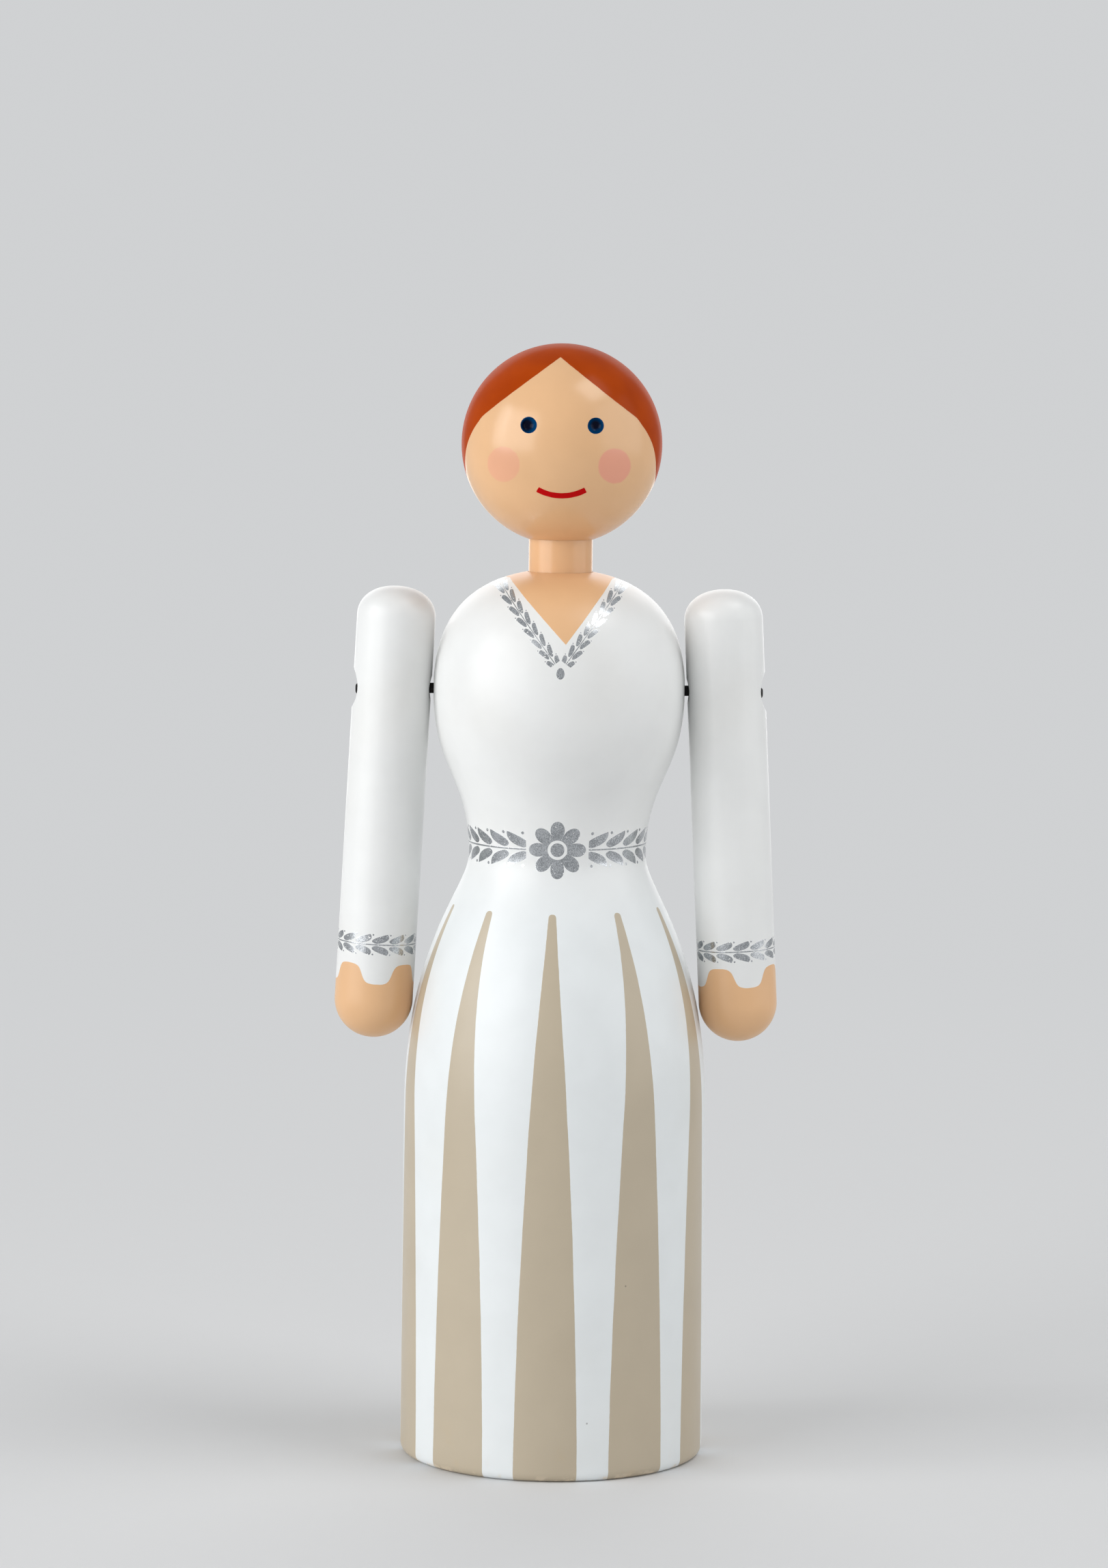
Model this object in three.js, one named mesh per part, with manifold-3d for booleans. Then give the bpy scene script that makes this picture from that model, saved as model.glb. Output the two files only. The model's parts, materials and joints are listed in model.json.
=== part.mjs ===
// A turned and painted wooden doll: a one-piece body, a neck dowel, a ball head with drilled eyes,
// and two dowel arms strung on an elastic cord through the chest.
// Millimetres, +Z up. The origin is the middle of the base. The doll faces -Y, its own left is +X.
import * as THREE from "three";
import { mergeVertices } from "three/addons/utils/BufferGeometryUtils.js";
import Module from "manifold-3d";

// Body: radii and heights of its turned outline.
const hemRadius = 23.05;
const hemEdge = 1.5;
const hipRadius = 22.88;
const hipHeight = 53.2;
const waistRadius = 13.4;
const waistAboveHip = 38.4;
const chestRadius = 19;
const chestAboveWaist = 25;
const seatAboveChest = 17.8;

// How full each bend of the outline is, as a share of the height it bends over.
const hipFullness = 0.65;
const waistFullnessBelow = 0.14;
const waistFullnessAbove = 0.47;
const chestFullness = 0.5;
const shoulderFullness = 0.56;
const shoulderReach = 9.6;
const shoulderSlope = 1.7;

// Neck and head.
const neckRadius = 4.8;
const neckShow = 4.9;
const neckInHead = 8;
const headRadius = 15.1;
const eyeSpread = 4.95;
const eyeRise = 3.1;
const eyeRadius = 1.2;
const eyeDepth = 0.9;

// Arms: lengths are measured along the arm from its pivot.
const armRadius = 5.94;
const armAbovePivot = 15.4;
const armBelowPivot = 53.3;
const armCrown = 4.6;
const armCrownFullness = 0.6;

// Elastic cord, its knots and the holes it runs in.
const boreRadius = 1.7;
const knotWellRadius = 2.9;
const knotWellDepth = 4.1;
const cordRadius = 0.8;
const knotRadius = 2.45;
const knotLength = 2.9;
const cordTail = 0.5;

// Fits.
const armGap = 0.3;
const handGap = 0.3;
const neckGlueGap = 0.1;
const neckTurnGap = 0.12;
const endGap = 0.3;
const knotGap = 0.3;
const woodOverBore = 4;

// Facets.
const turnedFacets = 48;
const armFacets = 36;
const holeFacets = 24;
const bodySteps = 9;
const ballSteps = 9;
const armSteps = 5;
const cordSteps = 4;

const wasm = await Module();
wasm.setup();

// Closed geometry as a solid: only positions are kept, so that the seams of the surface close.
function solidOf(geometry) {
  const bare = new THREE.BufferGeometry();
  bare.setAttribute("position", geometry.getAttribute("position"));
  bare.setIndex(geometry.index);
  const merged = mergeVertices(bare, 1e-4);
  const kept = [];
  for (let i = 0; i < merged.index.count; i += 3) {
    const [a, b, c] = [0, 1, 2].map((k) => merged.index.getX(i + k));
    if (a !== b && b !== c && c !== a) kept.push(a, b, c);
  }
  return new wasm.Manifold(
    new wasm.Mesh({
      numProp: 3,
      vertProperties: new Float32Array(merged.getAttribute("position").array),
      triVerts: new Uint32Array(kept),
    }),
  );
}

function geometryOf(solid) {
  const mesh = solid.getMesh();
  const geometry = new THREE.BufferGeometry();
  geometry.setAttribute("position", new THREE.BufferAttribute(mesh.vertProperties, 3));
  geometry.setIndex(new THREE.BufferAttribute(mesh.triVerts, 1));
  geometry.computeVertexNormals();
  return geometry;
}

// Turns an outline of (radius, height) about the Z axis. Each bend is cut into the steps given.
function turned(outline, steps, facets) {
  return new THREE.LatheGeometry(outline.getPoints(steps), facets).rotateX(Math.PI / 2);
}

// A round hole along X from one X to another, at the height given.
function holeAlongX(radius, fromX, toX, height) {
  const hole = new THREE.CylinderGeometry(radius, radius, toX - fromX, holeFacets);
  hole.rotateZ(Math.PI / 2);
  hole.translate((fromX + toX) / 2, 0, height);
  return solidOf(hole);
}

// Heights that follow from the sizes above.
const waistHeight = hipHeight + waistAboveHip;
const chestHeight = waistHeight + chestAboveWaist;
const seatHeight = chestHeight + seatAboveChest;
const neckInBody = seatAboveChest - boreRadius - woodOverBore;
const bodySocketRadius = neckRadius + neckGlueGap;
const headSocketRadius = neckRadius + neckTurnGap;
const headMouth = Math.sqrt(headRadius ** 2 - headSocketRadius ** 2);
const headHeight = seatHeight + neckShow + headMouth;

// Body: up the outside from the base, over the shoulders and down into the neck socket.
const bodyOutline = new THREE.Path();
bodyOutline.moveTo(0, 0);
bodyOutline.lineTo(hemRadius - hemEdge, 0);
bodyOutline.quadraticCurveTo(hemRadius, 0, hemRadius, hemEdge);
bodyOutline.lineTo(hipRadius, hipHeight);
bodyOutline.bezierCurveTo(
  hipRadius,
  hipHeight + hipFullness * waistAboveHip,
  waistRadius,
  waistHeight - waistFullnessBelow * waistAboveHip,
  waistRadius,
  waistHeight,
);
bodyOutline.bezierCurveTo(
  waistRadius,
  waistHeight + waistFullnessAbove * chestAboveWaist,
  chestRadius,
  chestHeight - chestFullness * chestAboveWaist,
  chestRadius,
  chestHeight,
);
bodyOutline.bezierCurveTo(
  chestRadius,
  chestHeight + shoulderFullness * seatAboveChest,
  bodySocketRadius + shoulderReach,
  seatHeight - shoulderSlope,
  bodySocketRadius,
  seatHeight,
);
bodyOutline.lineTo(bodySocketRadius, seatHeight - neckInBody - endGap);
bodyOutline.lineTo(0, seatHeight - neckInBody - endGap);
const chestBore = holeAlongX(boreRadius, -2 * chestRadius, 2 * chestRadius, chestHeight);
const body = solidOf(turned(bodyOutline, bodySteps, turnedFacets)).subtract(chestBore);

// Neck dowel: a plain length of dowel, glued into the body and free to turn in the head.
const neckLength = neckInBody + neckShow + neckInHead;
const neck = new THREE.CylinderGeometry(neckRadius, neckRadius, neckLength, turnedFacets);
neck.rotateX(Math.PI / 2);
neck.translate(0, 0, seatHeight - neckInBody + neckLength / 2);

// Head: a ball with a socket for the neck and two eyes sunk with a round cutter.
const headOutline = new THREE.Path();
const mouthAngle = -Math.acos(headSocketRadius / headRadius);
headOutline.moveTo(0, neckInHead + endGap - headMouth);
headOutline.lineTo(headSocketRadius, neckInHead + endGap - headMouth);
headOutline.lineTo(headSocketRadius, -headMouth);
headOutline.absarc(0, 0, headRadius, mouthAngle, Math.PI / 2);
const cutterRadius = (eyeRadius ** 2 + eyeDepth ** 2) / (2 * eyeDepth);
const cutterReach = headRadius - eyeDepth + cutterRadius;
const eyeForward = Math.sqrt(headRadius ** 2 - eyeSpread ** 2 - eyeRise ** 2);
let head = solidOf(turned(headOutline, ballSteps, turnedFacets));
for (const side of [-1, 1]) {
  const cutter = new THREE.SphereGeometry(cutterRadius, holeFacets, holeFacets / 2);
  const place = new THREE.Vector3(side * eyeSpread, -eyeForward, eyeRise).setLength(cutterReach);
  cutter.translate(place.x, place.y, place.z);
  head = head.subtract(solidOf(cutter));
}
head = head.translate([0, 0, headHeight]);

// Arms: each leans out just far enough that its shaft and its round hand clear the body.
const armX = chestRadius + armGap + armRadius;
const handBelowPivot = armBelowPivot - armRadius;
const armClear = armRadius + handGap;
let armLean = 0;
for (const point of bodyOutline.getPoints(bodySteps)) {
  const drop = chestHeight - point.y;
  const away = Math.hypot(armX - point.x, drop);
  if (drop > 0 && away < handBelowPivot + armClear) {
    const inward = Math.atan2(armX - point.x, drop);
    const besideShaft = Math.sqrt(away ** 2 - armClear ** 2) < handBelowPivot;
    const spread = besideShaft
      ? Math.asin(armClear / away)
      : Math.acos((handBelowPivot ** 2 + away ** 2 - armClear ** 2) / (2 * handBelowPivot * away));
    armLean = Math.max(armLean, spread - inward);
  }
}
const armOutline = new THREE.Path();
armOutline.moveTo(0, -armBelowPivot);
armOutline.absarc(0, armRadius - armBelowPivot, armRadius, -Math.PI / 2, 0);
armOutline.lineTo(armRadius, armAbovePivot - armCrown);
armOutline.bezierCurveTo(
  armRadius,
  armAbovePivot - armCrown * (1 - armCrownFullness),
  armRadius * armCrownFullness,
  armAbovePivot,
  0,
  armAbovePivot,
);
const armReach = armRadius / Math.cos(armLean);
function armSolid(side) {
  const blank = turned(armOutline, armSteps, armFacets);
  blank.rotateY(-side * armLean);
  const through = holeAlongX(boreRadius, -3 * armRadius, 3 * armRadius, 0);
  const wellFloor = armReach - knotWellDepth;
  const well = holeAlongX(knotWellRadius, wellFloor, 3 * armRadius, 0);
  const outward = side > 0 ? well : well.mirror([1, 0, 0]);
  const arm = solidOf(blank).subtract(through).subtract(outward);
  return arm.translate([side * armX, 0, chestHeight]);
}

// Elastic: the cord runs straight through the chest and both arms, with a knot in each well.
const knotFoot = armX + armReach - knotWellDepth + knotGap;
const knotMiddle = knotFoot + knotLength / 2;
const knotAngle = Math.acos(cordRadius / knotRadius);
const cordOutline = new THREE.Path();
cordOutline.moveTo(0, -knotFoot - knotLength - cordTail);
cordOutline.lineTo(cordRadius, -knotFoot - knotLength - cordTail);
for (const middle of [-knotMiddle, knotMiddle]) {
  cordOutline.absellipse(0, middle, knotRadius, knotLength / 2, -knotAngle, knotAngle);
}
cordOutline.lineTo(cordRadius, knotFoot + knotLength + cordTail);
cordOutline.lineTo(0, knotFoot + knotLength + cordTail);
const cord = turned(cordOutline, cordSteps, holeFacets);
cord.rotateY(Math.PI / 2);
cord.translate(0, 0, chestHeight);

const whitePaint = { color: 0xebedee, roughness: 0.38, metalness: 0 };
const skinPaint = { color: 0xe8bf94, roughness: 0.38, metalness: 0 };
const blackElastic = { color: 0x1c1b1d, roughness: 0.85, metalness: 0 };

const group = new THREE.Group();
function addPiece(name, geometry, look) {
  const mesh = new THREE.Mesh(geometry, new THREE.MeshStandardMaterial(look));
  mesh.name = name;
  group.add(mesh);
}
addPiece("body", geometryOf(body), whitePaint);
addPiece("neck_dowel", neck, skinPaint);
addPiece("head", geometryOf(head), skinPaint);
addPiece("arm_left", geometryOf(armSolid(1)), whitePaint);
addPiece("arm_right", geometryOf(armSolid(-1)), whitePaint);
addPiece("shoulder_elastic", cord, blackElastic);

export default group;
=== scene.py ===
import json
import math
from functools import cached_property, reduce

import bmesh
import bpy
from mathutils import Matrix, Vector


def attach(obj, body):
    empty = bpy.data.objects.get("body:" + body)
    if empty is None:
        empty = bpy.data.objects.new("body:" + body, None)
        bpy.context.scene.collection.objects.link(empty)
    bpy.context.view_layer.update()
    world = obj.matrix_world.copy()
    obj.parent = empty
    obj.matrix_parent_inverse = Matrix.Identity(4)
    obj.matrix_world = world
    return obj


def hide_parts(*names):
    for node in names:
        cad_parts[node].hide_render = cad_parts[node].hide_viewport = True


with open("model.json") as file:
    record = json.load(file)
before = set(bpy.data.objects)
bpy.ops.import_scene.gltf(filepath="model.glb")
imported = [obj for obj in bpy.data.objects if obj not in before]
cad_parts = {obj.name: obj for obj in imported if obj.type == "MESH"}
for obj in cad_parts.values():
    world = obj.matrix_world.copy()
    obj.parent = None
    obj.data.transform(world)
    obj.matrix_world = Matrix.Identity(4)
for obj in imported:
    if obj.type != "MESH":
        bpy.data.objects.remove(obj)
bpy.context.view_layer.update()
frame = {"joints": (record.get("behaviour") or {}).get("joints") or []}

MM = 0.001

# The arms swing about the cord, which crosses the chest at its widest. Lengths are in millimetres.
pivot = next(joint["pos_m"] for joint in frame["joints"] if joint["name"] == "arm_left_swing")
ARM_X = pivot[0] / MM
CHEST_HEIGHT = pivot[2] / MM

# Turned body: radii and heights of its outline.
HEM_RADIUS = 23.05
HEM_EDGE = 1.5
HIP_RADIUS = 22.88
HIP_HEIGHT = 53.2
WAIST_RADIUS = 13.4
WAIST_HEIGHT = 91.6
CHEST_RADIUS = 19.0
SEAT_HEIGHT = 134.4

# How full each bend of the outline is, as a share of the height it bends over.
HIP_FULLNESS = 0.65
WAIST_FULLNESS_BELOW = 0.14
WAIST_FULLNESS_ABOVE = 0.47
CHEST_FULLNESS = 0.5
SHOULDER_FULLNESS = 0.56
SHOULDER_REACH = 9.6
SHOULDER_SLOPE = 1.7

# Neck dowel.
NECK_RADIUS = 4.8
NECK_SOCKET = 4.9
NECK_IN_BODY = 12.1
NECK_SHOW = 4.9
NECK_IN_HEAD = 8.0
NECK_CHAMFER = 0.3
NECK_FOOT = SEAT_HEIGHT - NECK_IN_BODY
NECK_TOP = SEAT_HEIGHT + NECK_SHOW + NECK_IN_HEAD
SOCKET_SPACE = 0.3

# Ball head and its sunk eyes.
HEAD_RADIUS = 15.1
HEAD_SOCKET = 4.92
HEAD_MOUTH = math.sqrt(HEAD_RADIUS**2 - HEAD_SOCKET**2)
HEAD_HEIGHT = SEAT_HEIGHT + NECK_SHOW + HEAD_MOUTH
EYE_SPREAD = 4.95
EYE_RISE = 3.1
EYE_RADIUS = 1.2
EYE_DEPTH = 0.9
EYE_LIP = 0.1

# Arms, measured along each arm from its pivot. The radius is a hair under the dowel's own, so that the
# fine skin stays inside the box of the arm in model.glb.
ARM_RADIUS = 5.93
ARM_TOP = 15.4
ARM_BOTTOM = 53.3
ARM_CROWN = 4.6
CROWN_FULLNESS = 0.6
ARM_LEAN = math.radians(2.924)
ARM_REACH = ARM_RADIUS / math.cos(ARM_LEAN)

# The cord's holes, the wells for its knots, and the cord itself.
HOLE_RADIUS = 1.7
WELL_RADIUS = 2.9
WELL_DEPTH = 4.1
RIM_ROUND = 0.2
CORD_RADIUS = 0.8
CORD_TAIL = 0.5
KNOT_LENGTH = 2.9
KNOT_GAP = 0.3

# An overhand knot: the size of its loops, their swing along the cord, the turn it leaves open, and the
# points where the cord runs in, each as its way back from the knot's middle and its level.
KNOT_LOOP = 0.55
KNOT_SWING = 0.66
KNOT_OPEN = 0.22
KNOT_STEPS = 60
KNOT_LEAD = ((2.6, 0.0), (1.7, -0.1))

# The cord's tip: its level, points by their way back from its end, and shares of the width there.
TIP_LEVEL = -0.2
TIP_BACKS = (0.4, 0.16, 0.04, 0.0)
TIP_WIDTHS = (1.0, 0.92, 0.74, 0.5)

# Skin that is opened around a hole and made finer around an eye: half turns, half heights, widths.
BODY_PATCH_TURN = math.radians(10)
BODY_PATCH_RISE = 3.0
ARM_PATCH_TURN = math.radians(40)
ARM_PATCH_RISE = 4.2
COLLAR_CUTS = 5
EYE_CUTS = ((3, 2.4), (2, 1.9))
EYE_PATCH = 2.6
EYE_FRONT = 0.8 * HEAD_RADIUS


def bend(start, pull, draw, end, steps):
    """Points of a smooth bend between two ends, without its first point."""
    points = []
    for i in range(1, steps + 1):
        t = i / steps
        s = 1 - t
        shares = (s**3, 3 * s * s * t, 3 * s * t * t, t**3)
        ends = (start, pull, draw, end)
        points.append(tuple(sum(w * p[k] for w, p in zip(shares, ends)) for k in range(2)))
    return points


def straight(start, end, steps):
    """Evenly spaced points of a straight stretch, without its first point."""
    return [
        tuple(a + (b - a) * i / steps for a, b in zip(start, end))
        for i in range(1, steps + 1)
    ]


def arc(height, radius, first, last, steps):
    """Points of a round stretch about the axis, with angles from the outward direction."""
    angles = [first + (last - first) * i / steps for i in range(steps + 1)]
    return [(radius * math.cos(a), height + radius * math.sin(a)) for a in angles]


def turn(outline, steps):
    """Spins an outline of (radius, height) in millimetres about the upright axis."""
    skin = bmesh.new()
    points = [skin.verts.new((r * MM, 0, z * MM)) for r, z in outline]
    lines = [skin.edges.new(pair) for pair in zip(points, points[1:])]
    bmesh.ops.spin(
        skin,
        geom=points + lines,
        cent=(0, 0, 0),
        axis=(0, 0, 1),
        dvec=(0, 0, 0),
        angle=math.tau,
        steps=steps,
        use_merge=True,
    )
    bmesh.ops.remove_doubles(skin, verts=skin.verts, dist=1e-6)
    bmesh.ops.recalc_face_normals(skin, faces=skin.faces)
    return skin


def of_kind(geometry, kind):
    return [part for part in geometry if isinstance(part, kind)]


def faces_around(skin, side, height, half_turn, half_height):
    """Faces of a turned skin near the X axis on one side, within a turn and a height."""
    found = []
    for face in skin.faces:
        middle = face.calc_center_median()
        around = math.atan2(middle.y, middle.x * side)
        if abs(around) < half_turn and abs(middle.z - height * MM) < half_height * MM:
            found.append(face)
    return found


def cut_mouth(skin, faces, height, radius, seat):
    """Opens a round mouth along X in place of some faces.
    seat gives the X of the skin for a Y and a height, all in millimetres."""
    patch = set(faces)
    border = [e for f in faces for e in f.edges if any(n not in patch for n in e.link_faces)]
    border_points = {v for e in border for v in e.verts}
    bmesh.ops.delete(skin, geom=faces, context="FACES")
    collar = bmesh.ops.extrude_edge_only(skin, edges=border)["geom"]
    rim_points = set(of_kind(collar, bmesh.types.BMVert))
    for point in rim_points:
        around = math.atan2(point.co.z - height * MM, point.co.y)
        y, z = radius * math.cos(around), height + radius * math.sin(around)
        point.co = Vector((seat(y, z), y, z)) * MM
    spokes = [e for p in border_points for e in p.link_edges if e.other_vert(p) in rim_points]
    finer = bmesh.ops.subdivide_edges(skin, edges=spokes, cuts=COLLAR_CUTS, use_grid_fill=True)
    for point in of_kind(finer["geom_inner"], bmesh.types.BMVert):
        y, z = point.co.y / MM, point.co.z / MM
        point.co = Vector((seat(y, z), y, z)) * MM


def open_rim(skin, side):
    """Edges of the open rim on one side of the X axis."""
    return [e for e in skin.edges if e.is_boundary and e.verts[0].co.x * side > 0]


def draw_in(skin, rim, x=None, share=1.0):
    """Extrudes a rim to another X in millimetres, or to a smaller ring about the X axis,
    and returns the edges of the new ring."""
    wall = bmesh.ops.extrude_edge_only(skin, edges=rim)["geom"]
    points = set(of_kind(wall, bmesh.types.BMVert))
    for point in points:
        if x is not None:
            point.co.x = x * MM
        point.co.yz = point.co.yz * share
    return [e for e in of_kind(wall, bmesh.types.BMEdge) if set(e.verts) <= points]


def round_rims(skin, rims):
    """Takes the sharp edge off the rims of holes."""
    bmesh.ops.bevel(
        skin,
        geom=[e for e in rims if e.is_valid],
        offset=RIM_ROUND * MM,
        offset_type="OFFSET",
        segments=3,
        profile=0.5,
        affect="EDGES",
        material=-1,
        clamp_overlap=True,
    )


def finish_piece(skin, name, body, node, material, crease=32):
    """Makes the piece's object, shades it smooth up to its creases and seats it on its body."""
    mesh = bpy.data.meshes.new(name)
    bmesh.ops.recalc_face_normals(skin, faces=skin.faces)
    skin.to_mesh(mesh)
    skin.free()
    mesh.shade_smooth()
    mesh.set_sharp_from_angle(angle=math.radians(crease))
    mesh.materials.append(material)
    piece = bpy.data.objects.new(name, mesh)
    bpy.context.scene.collection.objects.link(piece)
    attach(piece, body)
    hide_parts(node)


def body_profile():
    """Points of the body's outside, from the base up to the neck socket."""
    foot = (HEM_RADIUS - HEM_EDGE, 0.0)
    hem = (HEM_RADIUS, HEM_EDGE)
    hip = (HIP_RADIUS, HIP_HEIGHT)
    waist = (WAIST_RADIUS, WAIST_HEIGHT)
    chest = (CHEST_RADIUS, CHEST_HEIGHT)
    seat = (NECK_SOCKET, SEAT_HEIGHT)
    hip_rise = WAIST_HEIGHT - HIP_HEIGHT
    waist_rise = CHEST_HEIGHT - WAIST_HEIGHT
    chest_rise = SEAT_HEIGHT - CHEST_HEIGHT
    points = [foot]
    points += bend(foot, (HEM_RADIUS - HEM_EDGE / 3, 0.0), (HEM_RADIUS, HEM_EDGE / 3), hem, steps=10)
    points += straight(hem, hip, steps=26)
    points += bend(
        hip,
        (HIP_RADIUS, HIP_HEIGHT + HIP_FULLNESS * hip_rise),
        (WAIST_RADIUS, WAIST_HEIGHT - WAIST_FULLNESS_BELOW * hip_rise),
        waist,
        steps=56,
    )
    points += bend(
        waist,
        (WAIST_RADIUS, WAIST_HEIGHT + WAIST_FULLNESS_ABOVE * waist_rise),
        (CHEST_RADIUS, CHEST_HEIGHT - CHEST_FULLNESS * waist_rise),
        chest,
        steps=44,
    )
    points += bend(
        chest,
        (CHEST_RADIUS, CHEST_HEIGHT + SHOULDER_FULLNESS * chest_rise),
        (NECK_SOCKET + SHOULDER_REACH, SEAT_HEIGHT - SHOULDER_SLOPE),
        seat,
        steps=48,
    )
    return points


BODY_PROFILE = body_profile()


def body_reach(height):
    """Radius of the body's outside at a height."""
    for (low_radius, low), (high_radius, high) in zip(BODY_PROFILE, BODY_PROFILE[1:]):
        if low <= height <= high:
            return low_radius + (high_radius - low_radius) * (height - low) / (high - low)
    return NECK_SOCKET


def turn_body():
    """The body with its neck socket and the cord's bore through the chest."""
    floor = NECK_FOOT - SOCKET_SPACE
    skin = turn([(0.0, 0.0)] + BODY_PROFILE + [(NECK_SOCKET, floor), (0.0, floor)], steps=192)

    def seat(side, y, z):
        return side * math.sqrt(body_reach(z) ** 2 - y * y)

    for side in (-1, 1):
        faces = faces_around(skin, side, CHEST_HEIGHT, BODY_PATCH_TURN, BODY_PATCH_RISE)
        cut_mouth(skin, faces, CHEST_HEIGHT, HOLE_RADIUS, lambda y, z: seat(side, y, z))
    rims = open_rim(skin, 1) + open_rim(skin, -1)
    bmesh.ops.bridge_loops(skin, edges=rims)
    round_rims(skin, rims)
    return skin


def turn_neck():
    """A plain length of dowel with chamfered ends."""
    inner = NECK_RADIUS - NECK_CHAMFER
    outline = [
        (0.0, NECK_FOOT),
        (inner, NECK_FOOT),
        (NECK_RADIUS, NECK_FOOT + NECK_CHAMFER),
        (NECK_RADIUS, NECK_TOP - NECK_CHAMFER),
        (inner, NECK_TOP),
        (0.0, NECK_TOP),
    ]
    return turn(outline, steps=96)


def sink_eye(skin, middle, side):
    """Sinks one eye with a round cutter: the skin is made finer around it, then pressed in."""
    forward = math.sqrt(HEAD_RADIUS**2 - EYE_SPREAD**2 - EYE_RISE**2)
    aim = Vector((side * EYE_SPREAD, -forward, EYE_RISE)).normalized()
    cutter = (EYE_RADIUS**2 + EYE_DEPTH**2) / (2 * EYE_DEPTH)
    cutter_middle = HEAD_RADIUS - EYE_DEPTH + cutter

    def off_axis(point):
        along = (point - middle).dot(aim)
        return along, ((point - middle) - aim * along).length

    for cuts, width in EYE_CUTS:
        edges = set()
        for face in skin.faces:
            along, away = off_axis(face.calc_center_median())
            if along > EYE_FRONT * MM and away < width * MM:
                edges.update(face.edges)
        bmesh.ops.subdivide_edges(skin, edges=list(edges), cuts=cuts, use_grid_fill=True)
    for point in skin.verts:
        along, away = off_axis(point.co)
        if along < EYE_FRONT * MM or away > EYE_PATCH * MM:
            continue
        across = (point.co - middle - aim * along).normalized() if away > 1e-9 else Vector()
        ball = math.sqrt(HEAD_RADIUS**2 - (away / MM) ** 2)
        depth = ball
        if away < cutter * MM:
            hollow = cutter_middle - math.sqrt(cutter**2 - (away / MM) ** 2)
            share = max(EYE_LIP - abs(ball - hollow), 0) / EYE_LIP
            depth = min(ball, hollow) - share * share * EYE_LIP / 4
        point.co = middle + aim * depth * MM + across * away


def turn_head():
    """The ball with its socket for the neck and its two eyes."""
    roof = NECK_TOP + SOCKET_SPACE
    mouth_angle = -math.acos(HEAD_SOCKET / HEAD_RADIUS)
    outline = [(0.0, roof), (HEAD_SOCKET, roof)]
    outline += arc(HEAD_HEIGHT, HEAD_RADIUS, mouth_angle, math.pi / 2, steps=110)
    skin = turn(outline, steps=160)
    middle = Vector((0, 0, HEAD_HEIGHT * MM))
    for side in (-1, 1):
        sink_eye(skin, middle, side)
    return skin


def turn_arm(side):
    """One arm, turned about its own axis with its pivot at the origin, then leaned and placed."""
    below, above = (ARM_RADIUS, -ARM_PATCH_RISE), (ARM_RADIUS, ARM_PATCH_RISE)
    shaft = (ARM_RADIUS, ARM_TOP - ARM_CROWN)
    outline = arc(ARM_RADIUS - ARM_BOTTOM, ARM_RADIUS, -math.pi / 2, 0, steps=24)
    outline += straight(outline[-1], below, steps=40)
    outline += straight(below, above, steps=14)
    outline += straight(above, shaft, steps=6)
    outline += bend(
        shaft,
        (ARM_RADIUS, ARM_TOP - ARM_CROWN * (1 - CROWN_FULLNESS)),
        (ARM_RADIUS * CROWN_FULLNESS, ARM_TOP),
        (0.0, ARM_TOP),
        steps=24,
    )
    skin = turn(outline, steps=96)
    outer_faces = faces_around(skin, side, 0.0, ARM_PATCH_TURN, ARM_PATCH_RISE)
    inner_faces = faces_around(skin, -side, 0.0, ARM_PATCH_TURN, ARM_PATCH_RISE)
    lean = Matrix.Rotation(-side * ARM_LEAN, 4, "Y")
    bmesh.ops.transform(skin, matrix=lean, verts=skin.verts)

    def seat(facing, y, z):
        across = facing * math.sqrt(ARM_RADIUS**2 - y * y)
        return (across - side * z * math.sin(ARM_LEAN)) / math.cos(ARM_LEAN)

    cut_mouth(skin, outer_faces, 0.0, WELL_RADIUS, lambda y, z: seat(side, y, z))
    cut_mouth(skin, inner_faces, 0.0, HOLE_RADIUS, lambda y, z: seat(-side, y, z))
    outer, inner = open_rim(skin, side), open_rim(skin, -side)
    floor = draw_in(skin, outer, x=side * (ARM_REACH - WELL_DEPTH))
    hole = draw_in(skin, floor, share=HOLE_RADIUS / WELL_RADIUS)
    bmesh.ops.bridge_loops(skin, edges=hole + inner)
    round_rims(skin, outer + inner)
    place = Matrix.Translation((side * ARM_X * MM, 0, CHEST_HEIGHT * MM))
    bmesh.ops.transform(skin, matrix=place, verts=skin.verts)
    return skin


def elastic_route():
    """Points of the cord from one tip to the other, about the middle of the chest."""
    knot = ARM_X + ARM_REACH - WELL_DEPTH + KNOT_GAP + KNOT_LENGTH / 2
    tip = knot + KNOT_LENGTH / 2 + CORD_TAIL
    half = [(0.0, 0.0, 0.0), (knot * 0.5, 0.0, 0.0)]
    half += [(knot - back, 0.0, level) for back, level in KNOT_LEAD]
    for i in range(KNOT_STEPS + 1):
        t = KNOT_OPEN + (math.tau - 2 * KNOT_OPEN) * i / KNOT_STEPS
        along = knot - KNOT_SWING * math.sin(3 * t)
        across = KNOT_LOOP * (math.sin(t) + 2 * math.sin(2 * t))
        up = KNOT_LOOP * (math.cos(t) - 2 * math.cos(2 * t))
        half.append((along, across, up))
    half += [(tip - back, 0.0, TIP_LEVEL) for back in TIP_BACKS]
    return [(-x, -y, z) for x, y, z in reversed(half[1:])] + half


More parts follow.
